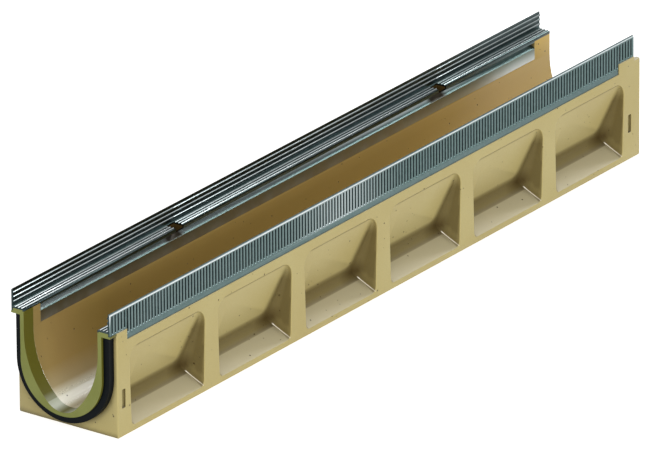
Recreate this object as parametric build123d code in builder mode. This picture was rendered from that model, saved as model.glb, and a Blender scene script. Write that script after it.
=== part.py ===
from build123d import *
from math import hypot
import os

os.makedirs("parts", exist_ok=True)

# Lengthways. X runs along the channel, from its spigot end to its socket end.
body_length = 1000.0         # the cast body alone
spigot_length = 12.0         # how far the joint collar stands out of the spigot end
collar_root = 5.3            # how far the collar reaches into the body
leg_end_gap = 30.5           # the rails' legs stop this far short of the rails' ends

# Across the channel.
trough_width = 100.0         # nominal width, between the inner faces
seat_width = 14.4            # from the trough to a rail's upstand
plate_setback = 1.1          # the rails' outer faces lie this far inside the body's sides

# Upwards from the underside, and down from the rails' seats.
total_height = 150.0
upstand_height = 21.4        # from the seats to the top of the upstands
shoulder_drop = 4.6          # top of the body's end blocks beside the rails
rim_drop = 9.6               # the socket's rim
outer_leg_length = 17.1
inner_leg_length = 24.8

# The trough's section: upright sides, wide haunches and a round floor.
trough_floor = 19.5
floor_radius = 26.9
upright_wall = 2.8           # bare upright wall between the rails' legs and the haunches

# The joint at the two ends.
collar_wall = 5.0            # the collar's wall beside the trough
collar_floor_wall = 4.5      # the same below the trough's floor
flange_thickness = 2.5       # under the rails' outer edges
flange_margin = 0.5          # the flanges stop this far inside the body's sides
seal_thickness = 7.8
seal_setback = 3.2           # the seal's front face lies behind the collar's
seal_squeeze = 1.3           # how far a seal is pressed in when it enters a socket
joint_gap = 0.15             # between the collar and the parts round it

# The rails' sheet and its ribs.
sheet = 1.4
upstand_thickness = 2.0
top_bevel = 1.6
rib_radius = 1.3
rib_drop = 4.5               # from the top of the upstand to the first rib's middle
rib_pitch = 5.45
rib_count = 3
corner_bead = 1.2            # radius of the bead where the upstand meets the seat
ridge_radius = 1.1
ridge_setback = 2.2          # from the seat's inner edge to the first ridge
ridge_pitch = 4.4
ridge_count = 3
ridge_sides = 12             # the ridges are cut in flats, which keeps their mesh light
end_lip_height = 2.7         # the seat's lip at the rails' ends, below the seat
lock_groove_drop = 7.7       # from the seat to the root of the groove that grating locks catch in
lock_groove_opening = 7.5
lock_groove_depth = 5.1

# Upright flutes pressed into the rails' outer faces.
flute_pitch = 5.56
flute_width = 3.0
flute_depth = 1.1
flute_top_margin = 3.0
flute_foot_margin = 6.5
flute_end_margin = 3.0

# Notches for the grating's locks, in the rails and the body behind them.
notch_length = 14.5
notch_reach = 13.4           # from the seat's inner edge towards the upstand, past the ridges
first_notch = 285.25         # from the rails' spigot end to the first notch's middle
notch_spacing = 501.5
notch_count = 2

# Pockets in the body's sides.
pocket_pitch = 161.5
first_pocket = 91.2          # from the body's spigot end to the first pocket's middle
pocket_end_wall = 20.0       # least wall between the last pocket and the body's socket end
pocket_width = 139.0         # along the top of the opening
pocket_lean = 3.5            # each side of the opening leans in by this much at its foot
pocket_cover = 12.0          # plain wall between a pocket and the rail's outer leg
pocket_foot = 7.3
pocket_top_radius = 17.0
pocket_foot_radius = 6.0
pocket_draft = 5.5           # degrees
pocket_ledge = 1.7           # depth of a pocket along its upper edge
pocket_back_slope = 0.363    # how far the back wall moves in for each step down
pocket_shelf_slope = 0.54    # how far the shelf rises for each step in
pocket_hollow_radius = 11.0  # between the back wall and the shelf

# Small slots near the ends of each side.
slot_length = 6.3
slot_height = 22.0
slot_foot = 33.5
slot_depth = 3.0
first_slot = 10.9            # from the body's spigot end to the first slot's middle
last_slot = 21.0             # from the last slot's middle to the body's socket end

body_edge_chamfer = 1.2
cut_overrun = 5.0            # how far cutting shapes run past what they cut

# Places worked out from the sizes above.
near_tip = -(spigot_length + body_length) / 2
near_face = near_tip + spigot_length
far_face = near_face + body_length
socket_depth = spigot_length
rail_end = far_face - socket_depth
rail_length = rail_end - near_tip
leg_start = near_tip + leg_end_gap
leg_length = rail_length - 2 * leg_end_gap
trough_side = trough_width / 2
leg_back = trough_side + sheet
upstand_inner = trough_side + seat_width
upstand_outer = upstand_inner + upstand_thickness
side = upstand_outer + plate_setback
flange_side = side - flange_margin
collar_side = trough_side + collar_wall
seal_side = collar_side + seal_thickness
socket_side = seal_side - seal_squeeze
seat_height = total_height - upstand_height
seat_foot = seat_height - sheet
end_lip_foot = seat_height - end_lip_height
block_height = seat_height - shoulder_drop
flange_foot = block_height - flange_thickness
rim_height = seat_height - rim_drop
outer_leg_foot = seat_height - outer_leg_length
inner_leg_foot = seat_height - inner_leg_length
lock_groove_height = seat_height - lock_groove_drop
trough_spring = inner_leg_foot - upright_wall
joint_centre_height = trough_floor - collar_floor_wall + collar_side
pocket_top = outer_leg_foot - pocket_cover
pocket_room = body_length - first_pocket - pocket_width / 2 - pocket_end_wall
pocket_count = 1 + int(pocket_room / pocket_pitch)
above_all = total_height + cut_overrun


def polygon(*points):
    """One closed outline, filled."""
    with BuildSketch() as section:
        with BuildLine():
            Polyline(*points, close=True)
        make_face()
    return section.sketch


def trough_section():
    """The trough's hollow, from its floor to above everything."""
    drop = trough_spring - trough_floor - floor_radius
    haunch_radius = (trough_side**2 + drop**2 - floor_radius**2) / (2 * (trough_side - floor_radius))
    inset = haunch_radius - trough_side
    reach = haunch_radius / (haunch_radius - floor_radius)
    meeting = (inset * (reach - 1), trough_spring - drop * reach)
    with BuildSketch() as section:
        with BuildLine():
            Line((0, above_all), (trough_side, above_all))
            upright = Line((trough_side, above_all), (trough_side, trough_spring))
            haunch = TangentArc(upright @ 1, meeting, tangent=upright % 1)
            TangentArc(haunch @ 1, (0, trough_floor), tangent=haunch % 1)
            mirror(about=Plane.YZ)
        make_face()
    return section.sketch


def joint_section(half_width, top):
    """A filled U with a half-round bottom about the joint's centre."""
    with BuildSketch() as section:
        with BuildLine():
            Line((0, top), (half_width, top))
            upright = Line((half_width, top), (half_width, joint_centre_height))
            TangentArc(upright @ 1, (0, joint_centre_height - half_width), tangent=upright % 1)
            mirror(about=Plane.YZ)
        make_face()
    return section.sketch


def shoulder(outer, foot):
    """The left half of what carries a rail's end: a block shaped to the rail's underside."""
    return polygon(
        (0, foot),
        (outer, foot),
        (outer, block_height),
        (upstand_inner, block_height),
        (upstand_inner, seat_foot),
        (leg_back, seat_foot),
        (leg_back, end_lip_foot),
        (0, end_lip_foot),
    )


def inner_leg_front():
    """From the seat down a rail's inner leg and round its lock groove to the foot."""
    half_opening = lock_groove_opening / 2
    return [
        (trough_side, seat_foot),
        (trough_side, lock_groove_height + half_opening),
        (trough_side + lock_groove_depth, lock_groove_height),
        (trough_side, lock_groove_height - half_opening),
        (trough_side, inner_leg_foot),
    ]


def inner_leg_rear():
    """From the foot up the back of the same leg, one sheet behind its front."""
    rise = lock_groove_opening / 2 / lock_groove_depth
    root = lock_groove_depth + sheet * hypot(1, rise) / rise
    half_opening = (root - sheet) * rise
    return [
        (leg_back, inner_leg_foot),
        (leg_back, lock_groove_height - half_opening),
        (trough_side + root, lock_groove_height),
        (leg_back, lock_groove_height + half_opening),
        (leg_back, seat_foot),
    ]


def notch_section():
    """Plan of the notches for the grating's locks along the left side."""
    middles = [(near_tip + first_notch + index * notch_spacing, trough_side) for index in range(notch_count)]
    with BuildSketch() as section:
        with Locations(*middles):
            Rectangle(notch_length, notch_reach, align=(Align.CENTER, Align.MIN))
            Rectangle(notch_length, cut_overrun, align=(Align.CENTER, Align.MAX))
    return section.sketch


def one_pocket():
    """What one pocket takes out of the left side, about X = 0."""
    half_top = pocket_width / 2
    half_foot = half_top - pocket_lean
    rise = pocket_top - pocket_foot
    depth = (pocket_ledge + pocket_back_slope * rise) / (1 + pocket_back_slope * pocket_shelf_slope)
    with BuildPart() as pocket:
        with BuildSketch(Plane.XZ.offset(-side)) as opening:
            with BuildLine():
                Polyline(
                    (-half_foot, pocket_foot),
                    (half_foot, pocket_foot),
                    (half_top, pocket_top),
                    (-half_top, pocket_top),
                    close=True,
                )
            make_face()
            fillet(opening.vertices().group_by(Axis.Y)[-1], radius=pocket_top_radius)
            fillet(opening.vertices().group_by(Axis.Y)[0], radius=pocket_foot_radius)
        extrude(amount=depth, taper=pocket_draft)
        with BuildSketch(Plane.YZ.offset(-half_top)) as hollow:
            with BuildLine():
                Polyline(
                    (side - depth, pocket_foot + pocket_shelf_slope * depth),
                    (side - pocket_ledge + pocket_back_slope * cut_overrun, pocket_top + cut_overrun),
                    (side + cut_overrun, pocket_top + cut_overrun),
                    (side + cut_overrun, pocket_foot - pocket_shelf_slope * cut_overrun),
                    close=True,
                )
            make_face()
            fillet(hollow.vertices().sort_by(Axis.X)[0], radius=pocket_hollow_radius)
        extrude(amount=pocket_width, mode=Mode.INTERSECT)
    return pocket.part


trough = trough_section()
notches = notch_section()
pocket = one_pocket()
pocket_middles = [(near_face + first_pocket + index * pocket_pitch, 0, 0) for index in range(pocket_count)]
slot_middles = [(near_face + first_slot, 0), (far_face - last_slot, 0)]

# The cast body: its left half with the socket, the rails' room, pockets and slots, then both halves.
with BuildPart() as channel_body:
    with BuildSketch(Plane.YZ.offset(near_face)):
        add(shoulder(side, 0))
    extrude(amount=body_length)
    outer_corners = channel_body.edges().filter_by(Axis.Z).group_by(Axis.Y)[-1]
    lower_edges = channel_body.edges().group_by(Axis.Z)[0].sort_by(Axis.Y)[1:]
    chamfer(outer_corners + lower_edges, length=body_edge_chamfer)
    with BuildSketch(Plane.YZ.offset(near_face)):
        add(trough)
    extrude(amount=body_length, mode=Mode.SUBTRACT)
    with BuildSketch(Plane.YZ.offset(leg_start)):
        add(polygon((0, inner_leg_foot), *inner_leg_rear(), (0, seat_foot)))
        with Locations((upstand_inner, outer_leg_foot)):
            Rectangle(side, above_all, align=(Align.MIN, Align.MIN))
    extrude(amount=leg_length, mode=Mode.SUBTRACT)
    with BuildSketch(Plane.YZ.offset(near_face)):
        add(joint_section(collar_side + joint_gap, above_all))
    extrude(amount=collar_root, mode=Mode.SUBTRACT)
    with BuildSketch(Plane.YZ.offset(rail_end)):
        add(joint_section(socket_side, above_all))
        with Locations((0, rim_height)):
            Rectangle(2 * side + cut_overrun, above_all, align=(Align.CENTER, Align.MIN))
    extrude(amount=socket_depth, mode=Mode.SUBTRACT)
    with BuildSketch(Plane.XY.offset(lock_groove_height)):
        add(notches)
    extrude(amount=above_all - lock_groove_height, mode=Mode.SUBTRACT)
    with Locations(*pocket_middles):
        add(pocket, mode=Mode.SUBTRACT)
    with BuildSketch(Plane.XZ.offset(-side)):
        with Locations(*slot_middles):
            with Locations((0, slot_foot)):
                Rectangle(slot_length, slot_height, align=(Align.CENTER, Align.MIN))
    extrude(amount=slot_depth, mode=Mode.SUBTRACT)
    mirror(about=Plane.XZ)
channel_body.part.label = "channel_body"
export_step(channel_body.part, "parts/channel_body.step")

# The moulded collar that makes the spigot, with a flange under each rail's end.
with BuildPart() as joint_collar:
    with BuildSketch(Plane.YZ.offset(near_tip)):
        add(shoulder(flange_side, 0))
        mirror(about=Plane.YZ)
        add(joint_section(collar_side, above_all), mode=Mode.INTERSECT)
        add(trough, mode=Mode.SUBTRACT)
    extrude(amount=spigot_length + collar_root)
    with BuildSketch(Plane.YZ.offset(near_tip)):
        add(shoulder(flange_side, flange_foot))
        mirror(about=Plane.YZ)
        add(trough, mode=Mode.SUBTRACT)
    extrude(amount=spigot_length)
joint_collar.part.label = "joint_collar"
export_step(joint_collar.part, "parts/joint_collar.step")

# The soft seal round the collar.
with BuildPart() as joint_seal:
    with BuildSketch(Plane.YZ.offset(near_tip + seal_setback)):
        add(joint_section(seal_side, flange_foot))
        add(joint_section(collar_side + joint_gap, above_all), mode=Mode.SUBTRACT)
    extrude(amount=spigot_length - seal_setback)
joint_seal.part.label = "joint_seal"
export_step(joint_seal.part, "parts/joint_seal.step")

# The left rail: seat and upstand over its whole length, legs between the shoulders.
first_ridge = trough_side + ridge_setback + ridge_radius
ridge_places = [(first_ridge + index * ridge_pitch, seat_height) for index in range(ridge_count)]
rib_places = [(upstand_inner, total_height - rib_drop - index * rib_pitch) for index in range(rib_count)]
flute_count = 1 + int((rail_length - 2 * flute_end_margin - flute_width) / flute_pitch)
flute_height = total_height - flute_top_margin - flute_foot_margin - outer_leg_foot
flute = polygon(
    (-flute_width / 2, upstand_outer),
    (0, upstand_outer - flute_depth),
    (flute_width / 2, upstand_outer),
)
with BuildPart() as edge_rail_left:
    with BuildSketch(Plane.YZ.offset(near_tip)):
        with BuildLine():
            Polyline(
                (trough_side, end_lip_foot),
                (trough_side, seat_height),
                (upstand_inner, seat_height),
                (upstand_inner, total_height),
                (upstand_outer - top_bevel, total_height),
                (upstand_outer, total_height - top_bevel),
                (upstand_outer, block_height),
                (upstand_inner, block_height),
                (upstand_inner, seat_foot),
                (leg_back, seat_foot),
                (leg_back, end_lip_foot),
                close=True,
            )
        make_face()
        with Locations(*ridge_places):
            RegularPolygon(radius=ridge_radius, side_count=ridge_sides)
        with Locations(*rib_places):
            Circle(rib_radius)
        with Locations((upstand_inner, seat_height)):
            Circle(corner_bead)
    extrude(amount=rail_length)
    with BuildSketch(Plane.YZ.offset(leg_start)):
        add(polygon(*inner_leg_front(), *inner_leg_rear()))
        with Locations((upstand_inner, outer_leg_foot)):
            Rectangle(upstand_thickness, seat_foot - outer_leg_foot, align=(Align.MIN, Align.MIN))
    extrude(amount=leg_length)
    with BuildSketch(Plane.XY.offset(outer_leg_foot + flute_foot_margin)):
        with Locations(((near_tip + rail_end) / 2, 0)):
            with GridLocations(flute_pitch, flute_pitch, flute_count, 1):
                add(flute)
    extrude(amount=flute_height, mode=Mode.SUBTRACT)
    with BuildSketch(Plane.XY.offset(lock_groove_height)):
        add(notches)
    extrude(amount=above_all - lock_groove_height, mode=Mode.SUBTRACT)
edge_rail_left.part.label = "edge_rail_left"
export_step(edge_rail_left.part, "parts/edge_rail_left.step")

# The right rail is the left one's mirror image.
with BuildPart() as edge_rail_right:
    mirror(edge_rail_left.part, about=Plane.XZ)
edge_rail_right.part.label = "edge_rail_right"
export_step(edge_rail_right.part, "parts/edge_rail_right.step")
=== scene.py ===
import math

import bmesh
import bpy
import numpy as np
from mathutils import Matrix, Vector


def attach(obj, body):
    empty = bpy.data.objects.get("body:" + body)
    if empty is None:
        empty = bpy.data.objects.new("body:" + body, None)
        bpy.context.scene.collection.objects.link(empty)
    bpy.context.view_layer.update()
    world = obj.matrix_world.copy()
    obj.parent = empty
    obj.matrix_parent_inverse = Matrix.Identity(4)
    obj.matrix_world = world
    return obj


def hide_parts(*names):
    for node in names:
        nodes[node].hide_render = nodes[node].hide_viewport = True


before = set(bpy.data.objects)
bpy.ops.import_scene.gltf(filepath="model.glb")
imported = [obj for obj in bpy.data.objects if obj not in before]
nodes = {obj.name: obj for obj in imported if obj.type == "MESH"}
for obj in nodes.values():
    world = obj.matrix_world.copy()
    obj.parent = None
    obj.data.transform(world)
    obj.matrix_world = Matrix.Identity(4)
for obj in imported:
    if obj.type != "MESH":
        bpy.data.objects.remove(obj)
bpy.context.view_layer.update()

# The mesh code below works in millimetres. Places along the body and its rails:
NEAR_FACE, FAR_FACE = -494.0, 506.0
RAIL_START, RAIL_END = -506.0, 494.0
SIDE = 67.5
POCKET_PITCH, NOTCH_PITCH = 161.5, 501.5
POCKET_MIDDLES = [NEAR_FACE + 91.2 + POCKET_PITCH * i for i in range(6)]
SLOT_MIDDLES = [NEAR_FACE + 10.9, FAR_FACE - 21.0]
NOTCH_MIDDLES = [RAIL_START + 285.25 + NOTCH_PITCH * i for i in range(2)]
# Room for rounding when a corner is compared with a place, and the distance that corners weld at.
CLOSE, NEAR, WELD = 0.01, 0.05, 0.002

# The trough's half-width above its curved sides, their radius, the height they end at, and the
# height up to which its lining is painted with shade.
TROUGH_HALF, TROUGH_RADIUS, TROUGH_SPRING, LINING_TOP = 50.0, 103.0, 101.0, 129.0
TROUGH_FLOOR_HALF, TROUGH_FLOOR_TOP = 19.0, 27.1
# The recesses in the body under the rails' notches.
RECESS_HALF, RECESS_OUT, RECESS_FOOT = 7.4, 64.0, 117.0

# A hollow in the body's side: a leaning outline, drafted walls, a sloping back and a sloping shelf.
# steps: points on half a top corner, along the top, on half a foot corner and along a side.
# inset: how far the last ring lies below the top, above the foot and in from the sides, as
# shares of its reach.
POCKET = dict(
    half_top=69.5, half_foot=66.0, foot=7.3, top=99.5, r_top=17.0, r_foot=6.0,
    draft=math.tan(math.radians(5.5)), shelf=0.54, ledge=1.7, back=0.363,
    r_shelf=2.6, r_rim=0.9, r_back=1.2, r_back_grow=0.37, r_back_max=11.0,
    steps=(6, 16, 4, 14), rings=32, reach=36.0, inset=(0.55, 0.95, 0.6),
)
SLOT = dict(
    half_top=3.15, half_foot=3.15, foot=33.5, top=55.5, r_top=1.1, r_foot=1.1,
    draft=0.05, shelf=0.05, ledge=3.0, back=0.0,
    r_shelf=0.8, r_rim=0.35, r_back=0.7, r_back_grow=0.0, r_back_max=0.7,
    steps=(3, 2, 3, 4), rings=10, reach=1.7, inset=(1.0, 1.0, 1.0),
)
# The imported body's faces this near a hollow's middle, and between these heights, give way to it.
POCKET_ROOM, POCKET_HEIGHTS = 70.0, (7.0, 99.9)
SLOT_ROOM, SLOT_HEIGHTS, SLOT_DEPTH = 3.3, (33.0, 56.0), 3.2
# The distance to a pocket's walls that is painted wherever there is no pocket.
FAR_OFF = 99.0


def round_min(a, b, r):
    """The smaller of two distances, with the corner between them rounded to radius r."""
    return np.maximum(r, np.minimum(a, b)) - np.hypot(np.maximum(r - a, 0), np.maximum(r - b, 0))


def lean_of(p):
    """How much wider a hollow gets on each side for each millimetre up."""
    return (p["half_top"] - p["half_foot"]) / (p["top"] - p["foot"])


def far_wall(x, t, z, p):
    """Distance in from the wall of a hollow that lies towards the socket end."""
    return p["half_foot"] + lean_of(p) * (z - p["foot"]) - x - t * p["draft"]


def above_shelf(t, z, p):
    """Height above a hollow's shelf, square to it."""
    return (z - p["foot"] - p["shelf"] * t) / math.hypot(1, p["shelf"])


def back_at(t, z, p):
    """The back's depth, the distance in front of it, and the radius its corners are rounded to."""
    depth = p["ledge"] + p["back"] * (p["top"] - z)
    radius = p["r_back"] + p["r_back_grow"] * (depth - p["ledge"])
    return depth, (depth - t) / math.hypot(1, p["back"]), np.clip(radius, 0.01, p["r_back_max"])


def hollow(x, t, z, p):
    """Distance into the empty space of a hollow at depth t, negative in the body."""
    lean, walls = lean_of(p), math.hypot(1, p["draft"])
    half = p["half_foot"] + lean * (z - p["foot"])
    sides = ((half - np.abs(x)) / math.hypot(1, lean) - t * p["draft"]) / walls
    ceiling = (p["top"] - z - t * p["draft"]) / walls
    r_shelf = np.clip(p["r_foot"] - 0.25 * t, p["r_shelf"], None)
    inner = round_min(sides, above_shelf(t, z, p), r_shelf)
    inner = round_min(inner, ceiling, p["r_top"])
    _, back, r_back = back_at(t, z, p)
    return round_min(inner, back, r_back)


def painted_shade_at(x, t, z, p):
    """Painted shade at a point of a pocket: most behind the shelf and up the wall towards the
    socket end.
    """
    depth, back, r = back_at(t, z, p)
    wall, shelf = far_wall(x, t, z, p), above_shelf(t, z, p)
    nearest = round_min(wall, shelf, np.full(x.shape, 26.0))
    reach = np.clip((1.35 * r + 11.0 - nearest) / 12.0, 0, 1)
    band = reach * reach * (3 - 2 * reach)
    turned = np.arctan2(np.clip(r - shelf, 0, None), np.clip(r - back, 0, None)) / (math.pi / 2)
    crease_shade = band * (0.84 - 0.10 * np.clip((turned - 0.3) / 0.3, 0, 1))
    crease_shade *= np.clip((depth - 1.5) / 8.0, 0.15, 1)
    # More painted shade in the corner where the wall, the shelf and the back meet.
    corner = np.clip(1.5 - wall / 22.0, 0, 1) * np.clip(1.5 - shelf / 16.0, 0, 1)
    crease_shade += 0.25 * corner * np.clip(1.5 - back / 8.0, 0, 1)
    on_shelf = np.clip(1 - shelf / 0.5, 0, 1)
    crease_shade *= 1 - on_shelf * (1 - np.clip(t / 26.0, 0, 1) ** 1.5)
    # A line of painted shade just under the pocket's top edge.
    under_edge = 0.85 * np.clip(1 - (p["top"] - z - 1.0) / 1.6, 0, 1) * np.clip(t / 0.8, 0, 1)
    return np.maximum(crease_shade, under_edge) * np.clip((t - 0.25) / 1.0, 0, 1)


def depth_at(x, z, p):
    """Depth of the body's surface behind the side plane, found by halving."""
    low, high = np.full(x.shape, -0.5), np.full(x.shape, 40.0)
    for _ in range(34):
        t = (low + high) / 2
        inside = round_min(t, -hollow(x, t, z, p), p["r_rim"]) > 0
        high = np.where(inside, t, high)
        low = np.where(inside, low, t)
    return (low + high) / 2


def arc(cx, cz, r, start, end, n):
    """Points round a corner, without the last."""
    a = np.radians(np.linspace(start, end, n + 1)[:-1])
    return np.c_[cx + r * np.cos(a), cz + r * np.sin(a)]


def line(a, b, n):
    """Points along a straight, without the last."""
    a, b = np.array(a), np.array(b)
    return a + (b - a) * np.linspace(0, 1, n + 1)[:-1, None]


def loop_points(p, grow):
    """The outline of a hollow, grown outwards by so much."""
    foot, top = p["foot"] - grow, p["top"] + grow
    half_foot, half_top = p["half_foot"] + grow, p["half_top"] + grow
    r_top, r_foot = p["r_top"] + grow, p["r_foot"] + grow
    n_top, n_long, n_foot, n_side = p["steps"]
    lean = (half_top - half_foot) / (top - foot)
    angle = math.atan(lean)
    t_z = top - r_top
    t_x = half_foot + lean * (t_z - foot) - r_top / math.cos(angle)
    f_z = foot + r_foot
    f_x = half_foot + lean * (f_z - foot) - r_foot / math.cos(angle)
    tilt = math.degrees(angle)
    n_foot_long = n_long + 2 * (n_top - n_foot)

    def on(cx, cz, r, degrees):
        a = math.radians(degrees)
        return (cx + r * math.cos(a), cz + r * math.sin(a))

    return np.vstack([
        arc(t_x, t_z, r_top, 45, 90, n_top),
        line(on(t_x, t_z, r_top, 90), on(-t_x, t_z, r_top, 90), n_long),
        arc(-t_x, t_z, r_top, 90, 135, n_top),
        arc(-t_x, t_z, r_top, 135, 180 + tilt, n_top),
        line(on(-t_x, t_z, r_top, 180 + tilt), on(-f_x, f_z, r_foot, 180 + tilt), n_side),
        arc(-f_x, f_z, r_foot, 180 + tilt, 225, n_foot),
        arc(-f_x, f_z, r_foot, 225, 270, n_foot),
        line(on(-f_x, f_z, r_foot, 270), on(f_x, f_z, r_foot, 270), n_foot_long),
        arc(f_x, f_z, r_foot, 270, 315, n_foot),
        arc(f_x, f_z, r_foot, 315, 360 - tilt, n_foot),
        line(on(f_x, f_z, r_foot, -tilt), on(t_x, t_z, r_top, -tilt), n_side),
        arc(t_x, t_z, r_top, -tilt, 45, n_top),
    ])


def inner_points(p):
    """The loop that the rings end on, well inside, with as many points as the outline."""
    n_top, n_long, n_foot, n_side = p["steps"]
    wide, tall = 2 * n_top + n_long, n_top + n_side + n_foot
    down, up, aside = (p["reach"] * share for share in p["inset"])
    top, foot, half = p["top"] - down, p["foot"] + up, p["half_foot"] - aside
    return np.vstack([
        line((half, top), (-half, top), wide),
        line((-half, top), (-half, foot), tall),
        line((-half, foot), (half, foot), wide),
        line((half, foot), (half, top), tall),
    ])


def hollow_patch(p):
    """Rings of points (x, depth, z) from just outside the opening to the flat of the back.

    Each spoke from the outline inwards is sampled finely, and its rings are then set
    closer together where the surface turns.
    """
    outer, inner = loop_points(p, 1.6 * p["r_rim"]), inner_points(p)
    fine = np.linspace(0, 1, 900) ** 1.6
    x = outer[:, 0, None] + (inner[:, 0] - outer[:, 0])[:, None] * fine
    z = outer[:, 1, None] + (inner[:, 1] - outer[:, 1])[:, None] * fine
    t = depth_at(x, z, p)
    dx, dz, dt = (np.diff(values, axis=1) for values in (x, z, t))
    tiny = 1e-9
    steps = np.sqrt(dx ** 2 + dz ** 2 + dt ** 2) + tiny
    angle = np.arctan2(dt, np.hypot(dx, dz) + tiny)
    turn = np.abs(np.diff(angle, axis=1, prepend=angle[:, :1]))
    weight = steps / steps.sum(1, keepdims=True) + 1.6 * turn / (turn.sum(1, keepdims=True) + tiny)
    along = np.concatenate([np.zeros((len(x), 1)), np.cumsum(weight, axis=1)], axis=1)
    along /= along[:, -1:]
    wanted = np.linspace(0, 1, p["rings"])
    rings = np.empty((p["rings"], len(x), 3))
    for i in range(len(x)):
        q = np.interp(wanted, along[i], fine)
        rings[:, i, 0] = outer[i, 0] + (inner[i, 0] - outer[i, 0]) * q
        rings[:, i, 2] = outer[i, 1] + (inner[i, 1] - outer[i, 1]) * q
    rings[:, :, 1] = depth_at(rings[:, :, 0], rings[:, :, 2], p)
    rings[0, :, 1] = 0.0
    return rings


def trough_half(z):
    """Half-width of the trough at height z, for telling its faces from the pockets'."""
    if z > TROUGH_SPRING:
        return TROUGH_HALF
    if z > TROUGH_FLOOR_TOP:
        bulge = math.sqrt(max(TROUGH_RADIUS**2 - (TROUGH_SPRING - z) ** 2, 0))
        return TROUGH_HALF - TROUGH_RADIUS + bulge
    return TROUGH_FLOOR_HALF


def placed(name, data):
    """A new object in the scene."""
    obj = bpy.data.objects.new(name, data)
    bpy.context.scene.collection.objects.link(obj)
    return obj


def open_node(name):
    """A copy of a node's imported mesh, and its corners and faces in millimetres, welded."""
    mesh = nodes[name].data.copy()
    bm = bmesh.new()
    bm.from_mesh(mesh)
    bmesh.ops.scale(bm, vec=(1000, 1000, 1000), verts=bm.verts)
    bmesh.ops.remove_doubles(bm, verts=bm.verts, dist=WELD)
    return mesh, bm


def close_node(mesh, bm, name, sharp):
    """The finished object, shaded smooth but for edges sharper than so many degrees."""
    bmesh.ops.recalc_face_normals(bm, faces=bm.faces)
    bmesh.ops.scale(bm, vec=(0.001, 0.001, 0.001), verts=bm.verts)
    for face in bm.faces:
        face.smooth = True
    bm.to_mesh(mesh)
    bm.free()
    mesh.name = name
    mesh.set_sharp_from_angle(angle=math.radians(sharp))
    return placed(name, mesh)


def fill_side(bm, border, sign):
    """Faces for one outer side, between its own border and the openings in it."""
    edges = list(dict.fromkeys(border))
    filled = bmesh.ops.triangle_fill(
        bm, use_beauty=True, use_dissolve=False, edges=edges, normal=(0, sign, 0))
    return [g for g in filled["geom"] if isinstance(g, bmesh.types.BMFace)]


def gives_way(face):
    """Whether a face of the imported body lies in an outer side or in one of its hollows."""
    c = face.calc_center_median()
    if min(abs(v.co.y) for v in face.verts) > SIDE - CLOSE:
        return True
    low, high = POCKET_HEIGHTS
    for middle in POCKET_MIDDLES:
        if abs(c.x - middle) < POCKET_ROOM and low < c.z < high:
            if all(abs(v.co.y) > trough_half(v.co.z) + 4 for v in face.verts):
                return all(low < v.co.z < high for v in face.verts)
    low, high = SLOT_HEIGHTS
    near_slot = any(abs(c.x - middle) < SLOT_ROOM for middle in SLOT_MIDDLES)
    return near_slot and low < c.z < high and abs(c.y) > SIDE - SLOT_DEPTH


def add_hollows(bm, sign, p, middles, layers):
    """Builds every hollow of one kind in one side. Returns the edges of their openings."""
    painted_shade, wall_gap, shelf_gap = layers
    rings = hollow_patch(p)
    x, t, z = rings[:, :, 0], rings[:, :, 1], rings[:, :, 2]
    gaps = np.full(rings.shape[:2] + (2,), FAR_OFF)
    # Painted shade for every hollow; the pockets also get distances to their wall and shelf.
    if p is POCKET:
        shade_amount = painted_shade_at(x, t, z, p)
        gaps[1:, :, 0] = far_wall(x[1:], t[1:], z[1:], p)
        gaps[1:, :, 1] = above_shelf(t[1:], z[1:], p)
    else:
        # Painted shade inside each slot, except at its foot.
        shade_amount = np.clip(t / 1.5, 0, 1) * 0.2 * (z > 36.0)
    count = rings.shape[1]
    opening = []
    for middle in middles:
        rows = [
            [bm.verts.new((middle + across, sign * (SIDE - deep), up)) for across, deep, up in ring]
            for ring in rings
        ]
        for row, amounts, row_gaps in zip(rows, shade_amount, gaps):
            for vert, amount, (wall, shelf) in zip(row, amounts, row_gaps):
                vert[painted_shade], vert[wall_gap], vert[shelf_gap] = amount, wall, shelf
        for a, b in zip(rows, rows[1:]):
            for i in range(count):
                j = (i + 1) % count
                bm.faces.new((a[i], a[j], b[j], b[i]))
        bm.faces.new(rows[-1])
        loop = set(rows[0])
        opening += [
            e for v in rows[0] for e in v.link_edges
            if e.other_vert(v) in loop and len(e.link_faces) == 1
        ]
    return opening


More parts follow.
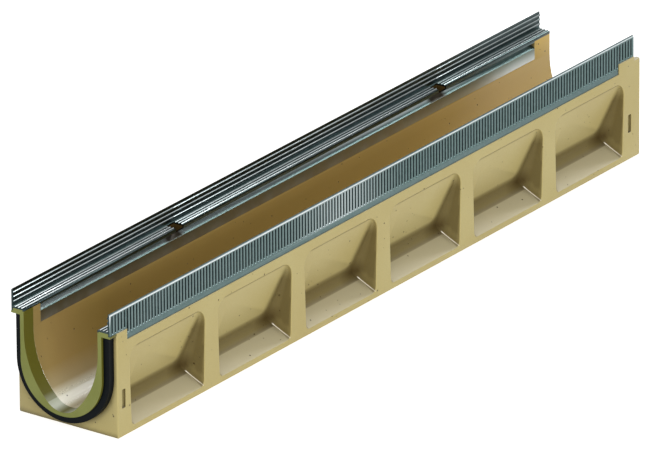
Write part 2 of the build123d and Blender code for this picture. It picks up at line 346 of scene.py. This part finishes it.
def make_body():
    mesh, bm = open_node("channel_body")
    bmesh.ops.delete(bm, geom=[f for f in bm.faces if gives_way(f)], context="FACES")
    crease = bm.edges.layers.float.new("bevel_weight_edge")
    painted_shade = bm.verts.layers.float.new("painted_shade")
    wall_gap = bm.verts.layers.float.new("wall_gap")
    shelf_gap = bm.verts.layers.float.new("shelf_gap")
    for vert in bm.verts:
        vert[wall_gap] = vert[shelf_gap] = FAR_OFF
    lining_mask = bm.loops.layers.float.new("lining_mask")
    for face in bm.faces:
        c = face.calc_center_median()
        in_trough = abs(c.y) < trough_half(c.z) + 0.6 and c.z < LINING_TOP
        for loop in face.loops:
            loop[lining_mask] = 1.0 if in_trough and abs(face.normal.x) < 0.5 else 0.0
        # The recesses are painted with shade.
        under_notch = any(abs(c.x - middle) < RECESS_HALF for middle in NOTCH_MIDDLES)
        if under_notch and TROUGH_HALF < abs(c.y) < RECESS_OUT and c.z > RECESS_FOOT:
            for vert in face.verts:
                vert[painted_shade] = 1.6
    for edge in bm.edges:
        if len(edge.link_faces) == 1 or edge.calc_face_angle(0) > math.radians(28):
            edge[crease] = 1.0
    for sign in (1, -1):
        border = [
            e for e in bm.edges
            if len(e.link_faces) == 1 and all(v.co.y * sign > 0 for v in e.verts)
        ]
        for p, middles in ((POCKET, POCKET_MIDDLES), (SLOT, SLOT_MIDDLES)):
            border += add_hollows(bm, sign, p, middles, (painted_shade, wall_gap, shelf_gap))
        fill_side(bm, border, sign)
    body = close_node(mesh, bm, "cast_body", 38)
    bevel = body.modifiers.new("edges", "BEVEL")
    bevel.limit_method = "WEIGHT"
    bevel.width = 0.0007
    bevel.segments = 2
    bevel.harden_normals = False
    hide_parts("channel_body")
    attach(body, "root")
    return body


SEAT, UPSTAND_TOP = 128.6, 150.0
INNER, OUTER, GROOVE = 64.4, 66.4, 1.1
# Ribs on the upstand's inner face by height, and ridges on the seat by distance out.
RIBS, RIB_RADIUS = (145.5, 140.05, 134.6), 1.3
RIDGES, RIDGE_RADIUS = (53.3, 57.7, 62.1), 1.1
# The inner leg's face and the lock groove in it.
LEG, LOCK_FOOT, LOCK_TOP, LOCK_DEPTH = 50.0, 117.15, 124.65, 5.1

# The flutes in the outer plate: their places, and where the grid across and along each one lies.
FLUTE_FOOT, FLUTE_TOP, FLUTE_PITCH, FLUTE_COUNT = 118.0, 147.0, 5.56, 179
# Over the shoulders at both ends the plate stops at the blocks' tops, and so do its flutes there.
SHORT_FLUTES, SHORT_FOOT = 5, 124.3
FLUTE_HALF = 1.5
FLUTE_ACROSS = (-1.5, -1.25, -0.85, -0.3, 0.3, 0.85, 1.25, 1.5)
FLUTE_ENDS = (0.0, 0.25, 0.6, 1.0, 1.5, 2.2)


def flute_depth(u, z, foot):
    """Depth of a flute u to the side of its middle line at height z."""
    along = np.clip(z, foot + FLUTE_HALF, FLUTE_TOP - FLUTE_HALF)
    inside = np.clip((FLUTE_HALF - np.hypot(u, z - along)) / 1.2, 0, 1)
    return GROOVE * np.sqrt(1 - (1 - inside) ** 2)


def along_rail(x):
    """How far along the rail: 0 at the spigot's end, 1 at the socket's."""
    return (x - RAIL_START) / (RAIL_END - RAIL_START)


def bell(value, middle, width):
    """1 at the middle, falling off softly to both sides."""
    return math.exp(-((value - middle) / width) ** 2)


def plate_light_and_shade(x):
    """Painted light on the outer plate: brighter near the middle, darker to the socket end."""
    return 0.53 + 0.15 * bell(x, -75.0, 65.0) - 0.06 * along_rail(x)


def rail_light_and_shade(corner, normal, x_normal):
    """Painted light and shade at a corner of a face: 0 dark in painted shade, 0.5 plain, 1 a
    painted highlight.
    """
    x, y, z = corner
    facing_in, facing_up = normal
    # End faces get painted shade.
    if abs(x_normal) > 0.9:
        return 0.12
    # The upstand's inner face, with light on one side of each rib.
    if z > SEAT + 1.3 and y < INNER + CLOSE and facing_in > -0.5:
        light_and_shade = 0.10 if z < 146.9 else 0.14
        for middle in RIBS:
            if y < INNER - CLOSE and abs(z - middle) < RIB_RADIUS + CLOSE:
                turned = math.degrees(math.atan2(z - middle, INNER - y))
                light_and_shade = 0.06 + 0.80 * bell(turned, 42, 34)
        return light_and_shade
    # The upstand's top, in painted shade at its inner corner and with a painted highlight along the
    # rest.
    if z > UPSTAND_TOP - CLOSE and y < 64.9:
        return 0.2
    if facing_up > 0.5 and y > 64.7 and z > 148:
        return 1.0
    # The seat, with light on the ridges.
    if y < INNER + CLOSE and z > SEAT - CLOSE:
        for middle in RIDGES:
            if abs(y - middle) < RIDGE_RADIUS + CLOSE and z > SEAT + CLOSE:
                turned = math.degrees(math.atan2(z - SEAT, middle - y))
                return (0.2 + bell(turned, 80, 60)) * (1 - 0.35 * along_rail(x))
        if y > RIDGES[-1] + RIDGE_RADIUS + CLOSE and z > SEAT + CLOSE:
            return 0.42
        return 0.25 if y > 52.1 and facing_up > 0.5 else 0.08
    # The lock groove's lower flank faces the light, and its upper flank is in shade.
    if LEG <= y < 56 and LOCK_FOOT - NEAR < z < LOCK_TOP + NEAR and facing_in > 0.1:
        if facing_up > 0.2:
            return (0.44 + 0.56 * (y - LEG) / LOCK_DEPTH) * (1 - 0.4 * along_rail(x))
        return 0.45
    # The inner leg: painted shade on the lip above the groove, painted light below it.
    if y < LEG + CLOSE:
        return 0.8 if z < LOCK_FOOT + NEAR else 0.15
    return 0.42


def add_flutes(bm, sign, light_and_shade):
    """Builds the strips of flutes in a rail's outer plate. Returns the edges round them."""
    first = (RAIL_START + RAIL_END) / 2 - FLUTE_PITCH * (FLUTE_COUNT - 1) / 2
    last_long = FLUTE_COUNT - SHORT_FLUTES
    runs = (
        (0, SHORT_FLUTES, SHORT_FOOT),
        (SHORT_FLUTES, last_long, FLUTE_FOOT),
        (last_long, FLUTE_COUNT, SHORT_FOOT),
    )
    rim = []
    for start, stop, foot in runs:
        heights = [foot + v for v in FLUTE_ENDS] + [FLUTE_TOP - v for v in reversed(FLUTE_ENDS)]
        grid = []
        for i in range(start, stop):
            centre = first + FLUTE_PITCH * i
            for u in FLUTE_ACROSS:
                depths = flute_depth(u, np.array(heights), foot)
                grid.append([
                    bm.verts.new((centre + u, sign * (OUTER - d), z))
                    for d, z in zip(depths, heights)
                ])
        for i, (a, b) in enumerate(zip(grid, grid[1:])):
            in_flute = i % len(FLUTE_ACROSS) != len(FLUTE_ACROSS) - 1
            for j in range(len(heights) - 1):
                face = bm.faces.new((a[j], b[j], b[j + 1], a[j + 1]))
                for loop in face.loops:
                    # Painted shade deep in each flute, and a painted highlight at its foot.
                    sunk = (OUTER - abs(loop.vert.co.y)) / GROOVE
                    low_end = loop.vert.co.z < foot + 1.8 and in_flute
                    raised = 1.0 if low_end and sunk < 0.95 else 1.0 - min(sunk * 1.6, 1.0)
                    loop[light_and_shade] = raised * plate_light_and_shade(loop.vert.co.x)
        outline = grid[0] + grid[-1] + [v for row in grid for v in (row[0], row[-1])]
        rim += [e for v in outline for e in v.link_edges if len(e.link_faces) == 1]
    return rim


def make_rail(side_name, sign):
    mesh, bm = open_node("edge_rail_" + side_name)
    deepest = OUTER - GROOVE - CLOSE
    outer = [f for f in bm.faces if min(abs(v.co.y) for v in f.verts) > deepest]
    bmesh.ops.delete(bm, geom=outer, context="FACES")
    border = [e for e in bm.edges if len(e.link_faces) == 1]
    light_and_shade = bm.loops.layers.float.new("light_and_shade")
    inner_leg = bm.loops.layers.float.new("inner_leg")
    for face in bm.faces:
        normal = (-face.normal.y * sign, face.normal.z)
        leg = all(abs(v.co.y) < LEG + CLOSE and v.co.z < LOCK_FOOT + NEAR for v in face.verts)
        for loop in face.loops:
            loop[inner_leg] = 1.0 if leg else 0.0
            corner = (loop.vert.co.x, abs(loop.vert.co.y), loop.vert.co.z)
            loop[light_and_shade] = rail_light_and_shade(corner, normal, face.normal.x)
    border += add_flutes(bm, sign, light_and_shade)
    for face in fill_side(bm, border, sign):
        for loop in face.loops:
            # Painted light on the flat plate, and a painted highlight along the band at its top,
            # dimmer to the socket end.
            x, z = loop.vert.co.x, loop.vert.co.z
            on_plate = z < FLUTE_TOP + 1.0
            loop[light_and_shade] = 0.86 * plate_light_and_shade(x) if on_plate else 0.97 - 0.4 * along_rail(x)
    rail = close_node(mesh, bm, "zinc_rail_" + side_name, 32)
    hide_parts("edge_rail_" + side_name)
    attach(rail, "root")
    return rail


def srgb(r, g, b):
    """A colour as a screen shows it, for a node."""
    def lin(c):
        c /= 255
        return c / 12.92 if c <= 0.04045 else ((c + 0.055) / 1.055) ** 2.4
    return (lin(r), lin(g), lin(b), 1.0)


class Nodes:
    """Short helper for building one material's node tree."""

    def __init__(self, name):
        self.material = bpy.data.materials.new(name)
        self.material.use_nodes = True
        self.tree = self.material.node_tree
        self.shader = self.tree.nodes["Principled BSDF"]
        self.coords = self.tree.nodes.new("ShaderNodeTexCoord").outputs["Object"]

    def add(self, kind, inputs=None, **settings):
        node = self.tree.nodes.new(kind)
        for key, value in settings.items():
            setattr(node, key, value)
        for key, value in (inputs or {}).items():
            if isinstance(value, bpy.types.NodeSocket):
                self.tree.links.new(value, node.inputs[key])
            else:
                node.inputs[key].default_value = value
        return node

    def place(self):
        """The place on the object, as X, Y and Z."""
        return self.add("ShaderNodeSeparateXYZ", {"Vector": self.coords}).outputs

    def facing(self):
        """The way the surface faces, as X, Y and Z."""
        normal = self.add("ShaderNodeNewGeometry").outputs["Normal"]
        return self.add("ShaderNodeSeparateXYZ", {"Vector": normal}).outputs

    def noise(self, scale, detail=3.0, roughness=0.5):
        inputs = {"Vector": self.coords, "Scale": scale, "Detail": detail, "Roughness": roughness}
        return self.add("ShaderNodeTexNoise", inputs).outputs["Fac"]

    def painted(self, name):
        """A value painted on the mesh."""
        return self.add("ShaderNodeAttribute", attribute_name=name).outputs["Fac"]

    def stretch(self, value, low, high, to_low=0.0, to_high=1.0):
        """The value's stretch from low to high, laid over another one and clamped to it."""
        return self.add("ShaderNodeMapRange", {
            "Value": value, "From Min": low, "From Max": high, "To Min": to_low, "To Max": to_high,
        }).outputs["Result"]

    def math(self, operation, a, b=0.0):
        return self.add("ShaderNodeMath", {0: a, 1: b}, operation=operation).outputs["Value"]

    def times(self, value, *factors):
        for factor in factors:
            value = self.math("MULTIPLY", value, factor)
        return value

    def mix(self, factor, a, b):
        node = self.add("ShaderNodeMix", data_type="RGBA")
        for index, value in ((0, factor), (6, a), (7, b)):
            if isinstance(value, bpy.types.NodeSocket):
                self.tree.links.new(value, node.inputs[index])
            else:
                node.inputs[index].default_value = value
        return node.outputs[2]

    def open_sky(self, distance, only_local=False):
        """How open the surface is to its surroundings: 1 in the open, less in hollows."""
        inputs = {"Distance": distance}
        node = self.add("ShaderNodeAmbientOcclusion", inputs, samples=8, only_local=only_local)
        return node.outputs["AO"]

    def ramp(self, value, stops):
        node = self.add("ShaderNodeValToRGB", {"Fac": value})
        elements = node.color_ramp.elements
        while len(elements) < len(stops):
            elements.new(0.5)
        for element, (position, color) in zip(elements, stops):
            element.position, element.color = position, color
        return node.outputs["Color"]

    def painted_highlight_band(self, across):
        """A painted highlight beside the trough's lowest line, by how far the surface leans."""
        lean = self.math("ABSOLUTE", across)
        return self.times(
            self.stretch(lean, 0.02, 0.42, 0.05, 1.0),
            self.stretch(lean, 0.66, 0.76, 1.0, 0.0),
        )

    def bump(self, height, distance, strength=1.0, normal=None):
        inputs = {"Height": height, "Distance": distance, "Strength": strength}
        if normal is not None:
            inputs["Normal"] = normal
        return self.add("ShaderNodeBump", inputs).outputs["Normal"]

    def set(self, **inputs):
        for key, value in inputs.items():
            socket = self.shader.inputs[key.replace("_", " ")]
            if isinstance(value, bpy.types.NodeSocket):
                self.tree.links.new(value, socket)
            else:
                socket.default_value = value


def concrete():
    n = Nodes("polymer_concrete")
    cloud = n.stretch(n.noise(9.0, 4.0), 0.35, 0.65)
    grain = n.stretch(n.noise(620.0, 2.0, 0.6), 0.3, 0.7)
    speck = n.stretch(n.noise(1500.0, 1.0, 0.5), 0.62, 0.72)
    place, normal = n.place(), n.facing()
    base = n.mix(cloud, srgb(193, 177, 117), srgb(199, 185, 126))
    base = n.mix(n.times(grain, 0.25), base, srgb(186, 168, 108))
    base = n.mix(n.times(speck, 0.25), base, srgb(150, 132, 82))
    # Painted shade on the trough's lining, darkest near its spigot end.
    lining_shade = n.ramp(n.stretch(place["X"], -0.494, 0.506), (
        (0.0, (0.31, 0.22, 0.075, 1.0)),
        (0.05, (0.40, 0.27, 0.09, 1.0)),
        (0.12, (0.54, 0.375, 0.110, 1.0)),
        (0.20, (0.57, 0.400, 0.125, 1.0)),
        (0.70, (0.56, 0.385, 0.110, 1.0)),
        (0.90, (0.68, 0.475, 0.13, 1.0)),
    ))
    base = n.mix(n.painted("lining_mask"), base, lining_shade)
    # Faces that look up are paler: pale dust and a painted sheen.
    dust_and_sheen = n.stretch(normal["Z"], 0.45, 0.95, 0.0, 0.8)
    base = n.mix(dust_and_sheen, base, srgb(214, 206, 178))
    # A painted highlight along the lining's floor.
    floor_highlight = n.times(n.painted_highlight_band(normal["Y"]), n.painted("lining_mask"))
    base = n.mix(floor_highlight, base, srgb(250, 246, 220))
    # Small dark pits of two sizes.
    pit = None
    for scale, low, high in ((60.0, 0.044, 0.066), (88.0, 0.037, 0.060)):
        inputs = {"Vector": n.coords, "Scale": scale, "Randomness": 1.0}
        cells = n.add("ShaderNodeTexVoronoi", inputs, feature="F1")
        spot = n.stretch(cells.outputs["Distance"], low, high, 1.0, 0.0)
        pit = spot if pit is None else n.math("MAXIMUM", pit, spot)
    base = n.mix(n.times(pit, 0.85), base, srgb(66, 52, 28))
    # Painted shade in the pockets stops in a crisp line where the shelf begins.
    shelf_gap, wall_gap = n.painted("shelf_gap"), n.painted("wall_gap")
    off_shelf = n.stretch(shelf_gap, 0.05, 0.16, 0.30, 1.0)
    painted_shade = n.times(n.painted("painted_shade"), off_shelf)
    base = n.mix(n.stretch(painted_shade, 0.0, 1.15, 0.0, 0.97), base, srgb(62, 44, 14))
    # Painted shade in hollows, from ambient occlusion; outside the lining and the end faces only
    # the body's own shape counts.
    own, all_round = n.open_sky(0.012, only_local=True), n.open_sky(0.009)
    ends = n.stretch(n.math("ABSOLUTE", normal["X"]), 0.7, 0.9)
    shared = n.math("MAXIMUM", n.painted("lining_mask"), ends)
    inputs = {0: shared, 2: own, 3: all_round}
    sky = n.add("ShaderNodeMix", inputs, data_type="FLOAT").outputs[0]
    base = n.mix(n.stretch(sky, 0.35, 0.92, 0.85, 0.0), base, srgb(62, 50, 24))
    # A painted highlight along the corner between each pocket's shelf and wall.
    off_line = n.math("ABSOLUTE", n.math("SUBTRACT", shelf_gap, wall_gap))
    in_corner = n.stretch(n.math("ADD", shelf_gap, wall_gap), 2.6, 4.2, 1.0, 0.0)
    corner_highlight = n.times(n.stretch(off_line, 0.35, 1.0, 0.9, 0.0), in_corner)
    base = n.mix(corner_highlight, base, srgb(246, 236, 216))
    # The painted highlight band is also made smoother and glossier, most towards the spigot end.
    gloss = n.math("MAXIMUM", n.stretch(painted_shade, 0.0, 0.8, 0.08, 0.015), n.times(corner_highlight, 0.26))
    sheen = n.times(floor_highlight, n.stretch(place["X"], -0.43, -0.28, 1.0, 0.15))
    gloss = n.math("MAXIMUM", gloss, sheen)
    rough = n.math("SUBTRACT", n.stretch(grain, 0.0, 1.0, 0.36, 0.46), n.times(sheen, 0.2))
    n.set(Base_Color=base, Roughness=rough, Specular_IOR_Level=gloss, IOR=2.2)
    bump = n.bump(grain, 0.00008, 0.4)
    bump = n.bump(n.math("SUBTRACT", 1.0, pit), 0.0008, 1.0, bump)
    n.set(Normal=bump)
    return n.material


def galvanised():
    n = Nodes("galvanised_sheet")
    light_and_shade = n.painted("light_and_shade")
    spangle = n.add("ShaderNodeTexVoronoi", {"Vector": n.coords, "Scale": 260.0}, feature="F1")
    flake = n.add("ShaderNodeSeparateColor", {"Color": spangle.outputs["Color"]}).outputs["Red"]
    smear = n.stretch(n.noise(45.0, 3.0), 0.35, 0.65)
    # Painted light and shade: near black in painted shade, plain zinc, near white in painted
    # highlights.
    base = n.mix(n.stretch(light_and_shade, 0.0, 0.5), srgb(9, 16, 18), srgb(86, 107, 105))
    base = n.mix(n.stretch(light_and_shade, 0.5, 1.0), base, srgb(240, 246, 248))
    dull = n.times(n.stretch(light_and_shade, 0.5, 1.0, 1.0, 0.2), n.stretch(light_and_shade, 0.0, 0.3, 0.2, 1.0))
    base = n.mix(n.times(flake, 0.10, dull), base, srgb(150, 166, 170))
    base = n.mix(n.times(smear, 0.15, dull), base, srgb(84, 102, 108))
    # A painted reflection of the brown lining on the inner leg, darker near the spigot end and
    # weaker to the socket end.
    place = n.place()
    leg_reflection = n.times(n.painted("inner_leg"), n.stretch(smear, 0.0, 1.0, 0.8, 1.0))
    leg_reflection = n.times(leg_reflection, n.stretch(place["X"], 0.18, 0.46, 1.0, 0.3))
    reflected_brown = n.mix(n.stretch(place["X"], -0.50, 0.20), srgb(84, 70, 36), srgb(128, 112, 74))
    base = n.mix(n.times(leg_reflection, 0.85), base, reflected_brown)
    # Painted shade in the groove below each notch, where the metal is dulled too.
    near_notch = None
    for middle in NOTCH_MIDDLES:
        away = n.math("ABSOLUTE", n.math("SUBTRACT", place["X"], (middle - 8.0) / 1000))
        near_notch = away if near_notch is None else n.math("MINIMUM", near_notch, away)
    shade_amount = n.stretch(near_notch, 0.011, 0.019, 1.0, 0.0)
    shade_amount = n.times(shade_amount, n.stretch(place["Z"], 0.1170, 0.1176))
    shade_amount = n.times(shade_amount, n.stretch(place["Z"], 0.1250, 0.1262, 1.0, 0.0))
    shade_amount = n.times(shade_amount, n.stretch(n.math("ABSOLUTE", place["Y"]), 0.056, 0.058, 1.0, 0.0))
    base = n.mix(n.times(shade_amount, 0.95), base, srgb(44, 34, 16))
    metal = n.times(n.stretch(leg_reflection, 0.0, 1.0, 1.0, 0.3), n.stretch(shade_amount, 0.0, 1.0, 1.0, 0.1))
    gloss = n.math("SUBTRACT", 0.5, n.times(shade_amount, 0.45))
    rough = n.stretch(flake, 0.0, 1.0, 0.29, 0.33)
    n.set(Base_Color=base, Metallic=metal, Roughness=rough, Specular_IOR_Level=gloss)
    n.set(Normal=n.bump(n.noise(900.0, 2.0), 0.00003, 0.15))
    return n.material


def collar_plastic():
    n = Nodes("moulded_collar")
    cloud = n.stretch(n.noise(30.0, 3.0), 0.35, 0.65)
    grain = n.noise(1400.0, 2.0)
    normal = n.facing()
    base = n.mix(cloud, srgb(132, 137, 66), srgb(139, 144, 74))
    # Painted shade on the faces that do not look along the channel.
    inner = n.stretch(n.math("ABSOLUTE", normal["X"]), 0.3, 0.9, 1.0, 0.0)
    base = n.mix(inner, base, srgb(98, 95, 30))
    # A painted highlight on the inside's upward faces.
    upward = n.stretch(normal["Z"], 0.3, 0.5)
    band = n.times(n.times(n.painted_highlight_band(normal["Y"]), 0.65), n.times(inner, upward))
    base = n.mix(band, base, srgb(206, 214, 194))
    rough = n.stretch(grain, 0.3, 0.7, 0.34, 0.46)
    bump = n.bump(grain, 0.00005, 0.5)
    n.set(Base_Color=base, Roughness=rough, Normal=bump, Specular_IOR_Level=0.3)
    return n.material


def seal_rubber():
    n = Nodes("seal_rubber")
    grain = n.noise(1100.0, 2.0)
    dust_and_sheen = n.stretch(n.noise(60.0, 4.0), 0.5, 0.8)
    base = n.mix(n.times(dust_and_sheen, 0.2), srgb(3, 8, 12), srgb(16, 22, 27))
    rough = n.stretch(grain, 0.3, 0.7, 0.38, 0.52)
    bump = n.bump(grain, 0.00008, 0.5)
    n.set(Base_Color=base, Roughness=rough, Normal=bump, Specular_IOR_Level=0.08)
    return n.material


def dress(obj, material, bevel=None):
    """Gives an object its material, and small bevels of so many metres along its edges."""
    obj.data.materials.clear()
    obj.data.materials.append(material)
    if bevel:
        rounding = obj.modifiers.new("edges", "BEVEL")
        rounding.limit_method = "ANGLE"
        rounding.angle_limit = math.radians(35)
        rounding.width = bevel
        rounding.segments = 2


dress(make_body(), concrete())
steel = galvanised()
for side_name, sign in (("left", 1), ("right", -1)):
    dress(make_rail(side_name, sign), steel)
dress(nodes["joint_collar"], collar_plastic(), 0.0004)
dress(nodes["joint_seal"], seal_rubber(), 0.0007)

# A white floor just below the object, which shows its shadow and glows a little to the camera.
FLOOR_HALF, FLOOR_HEIGHT, FLOOR_GLOW = 30.0, -0.0004, 0.75
corners = [(x * FLOOR_HALF, y * FLOOR_HALF) for x, y in ((-1, -1), (1, -1), (1, 1), (-1, 1))]
floor_mesh = bpy.data.meshes.new("floor")
floor_mesh.from_pydata([(x, y, FLOOR_HEIGHT) for x, y in corners], [], [(0, 1, 2, 3)])
floor = placed("floor", floor_mesh)
floor_material = Nodes("floor")
floor_material.set(Base_Color=(0.86, 0.86, 0.86, 1.0), Roughness=0.9)
rays = floor_material.add("ShaderNodeLightPath").outputs
seen = floor_material.math("MAXIMUM", rays["Is Camera Ray"], rays["Is Glossy Ray"])
seen = floor_material.math("MAXIMUM", seen, rays["Is Transmission Ray"])
strength = floor_material.times(seen, FLOOR_GLOW)
glow = floor_material.add(
    "ShaderNodeEmission", {"Color": (1.0, 1.0, 1.0, 1.0), "Strength": strength})
lit = floor_material.add(
    "ShaderNodeAddShader", {0: floor_material.shader.outputs[0], 1: glow.outputs[0]})
surface = floor_material.tree.nodes["Material Output"].inputs["Surface"]
floor_material.tree.links.new(lit.outputs[0], surface)
floor_mesh.materials.append(floor_material.material)

# An even white sky, dimmer where it only lights the object than where it is seen.
SKY_LIGHT, SKY_SEEN = 0.31, 1.0
world = bpy.data.worlds.new("studio")
bpy.context.scene.world = world
world.use_nodes = True
tree = world.node_tree
sky = tree.nodes["Background"]
sky.inputs["Color"].default_value = (1.0, 1.0, 1.0, 1.0)
rays = tree.nodes.new("ShaderNodeLightPath").outputs
level = tree.nodes.new("ShaderNodeMapRange")
seen = rays["Is Camera Ray"]
for kind in ("Is Glossy Ray", "Is Transmission Ray"):
    either = tree.nodes.new("ShaderNodeMath")
    either.operation = "MAXIMUM"
    tree.links.new(seen, either.inputs[0])
    tree.links.new(rays[kind], either.inputs[1])
    seen = either.outputs["Value"]
tree.links.new(seen, level.inputs["Value"])
level.inputs["To Min"].default_value = SKY_LIGHT
level.inputs["To Max"].default_value = SKY_SEEN
tree.links.new(level.outputs["Result"], sky.inputs["Strength"])


def area_light(name, azimuth, elevation, distance, size, power):
    """A soft box aimed at the object, by degrees, metres and watts.

    Azimuth 0 is in front of the side seen, 90 is beyond the socket end.
    """
    a, e = math.radians(azimuth), math.radians(elevation)
    away = Vector((math.sin(a) * math.cos(e), -math.cos(a) * math.cos(e), math.sin(e)))
    light = bpy.data.lights.new(name, "AREA")
    light.shape = "RECTANGLE"
    light.size, light.size_y = size
    light.energy = power
    obj = placed(name, light)
    obj.location = away * distance
    obj.rotation_mode = "QUATERNION"
    obj.rotation_quaternion = away.to_track_quat("Z", "Y")


area_light("front_light", -40, 16, 8.0, (5.0, 2.0), 345)
area_light("far_light", 92, 38, 4.0, (1.5, 1.0), 62)

camera_data = bpy.data.cameras.new("camera")
camera = placed("camera", camera_data)
camera.matrix_world = Matrix((
    (0.584641, 0.313925, -0.748095, -10.04916),
    (-0.811267, 0.218962, -0.542127, -7.27026),
    (-0.006383, 0.923854, 0.382691, 5.20615),
    (0.0, 0.0, 0.0, 1.0),
))
camera_data.sensor_width = 36.0
camera_data.lens = 666.70
camera_data.clip_start, camera_data.clip_end = 1.0, 60.0
bpy.context.scene.camera = camera
bpy.context.scene.view_settings.view_transform = "Standard"
